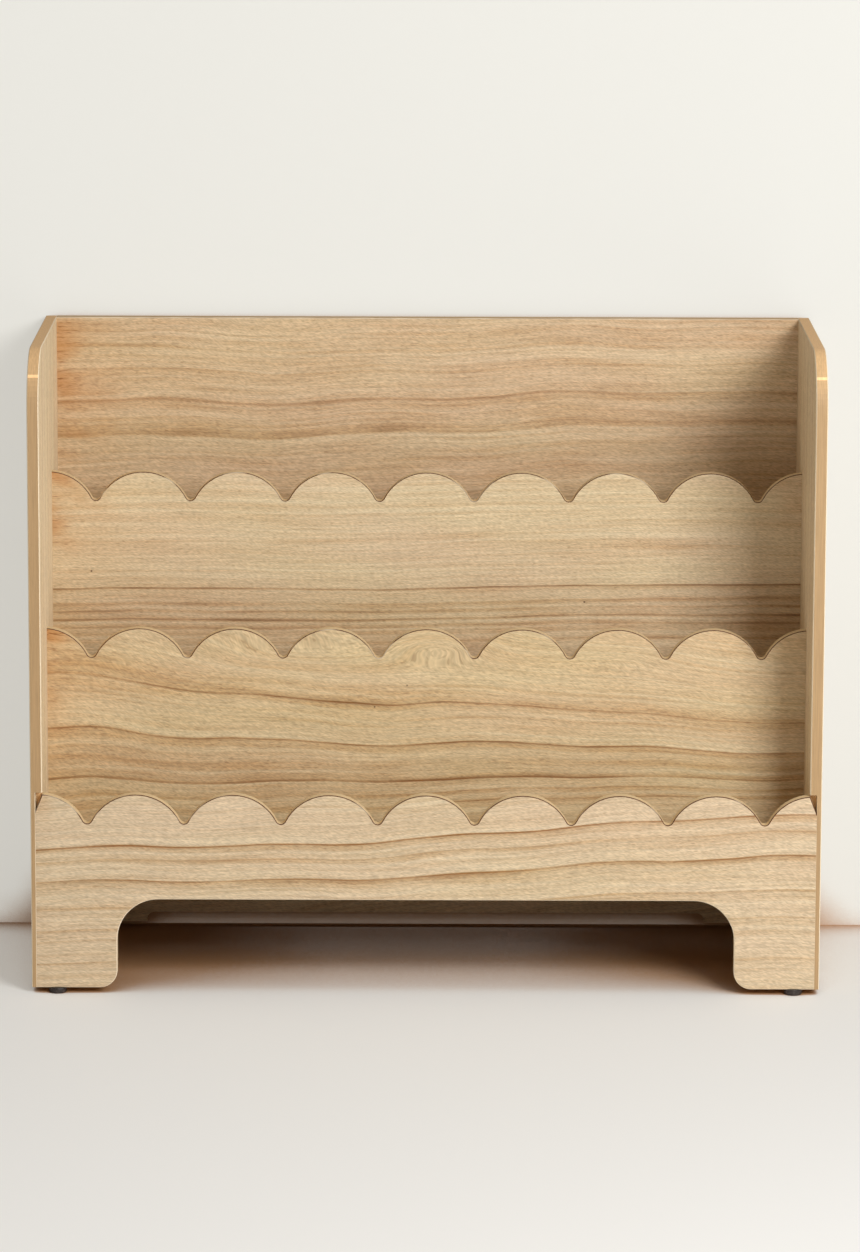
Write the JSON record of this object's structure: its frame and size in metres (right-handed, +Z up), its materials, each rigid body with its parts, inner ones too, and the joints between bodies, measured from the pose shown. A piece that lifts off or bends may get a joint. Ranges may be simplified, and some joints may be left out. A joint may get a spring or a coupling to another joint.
{
  "type": "bookshelf",
  "caption": "Low front-facing children's bookshelf: stepped pockets behind scalloped wooden panels between two side boards rounded at the top, on short feet.",
  "frame": {"origin": "on the ground, at the middle of the footprint", "axes": "+Z up, the front faces -Y, +X along the width to the viewer's right"},
  "size_m": [0.8, 0.306, 0.655],
  "materials": {
    "side_wood": "matt clear coat, upright grain",
    "back_wood": "matt clear coat, level grain",
    "upper_wood": "matt clear coat, level grain",
    "middle_wood": "matt clear coat, level grain",
    "front_wood": "matt clear coat, level grain",
    "floor_wood": "matt clear coat, level grain",
    "dowel_wood": "bare, smooth",
    "nail_steel": "plain",
    "glide_plastic": "matt moulded"
  },
  "bodies": {
    "root": {"side_left": "side_wood", "side_right": "side_wood", "back_panel": "back_wood", "upper_panel": "upper_wood", "middle_panel": "middle_wood", "front_panel": "front_wood", "lower_floor": "floor_wood", "middle_floor": "floor_wood", "upper_floor": "floor_wood", "dowels": "dowel_wood", "glide_nails": "nail_steel", "front_left_glide": "glide_plastic", "front_right_glide": "glide_plastic", "rear_left_glide": "glide_plastic", "rear_right_glide": "glide_plastic"}
  },
  "joints": []
}
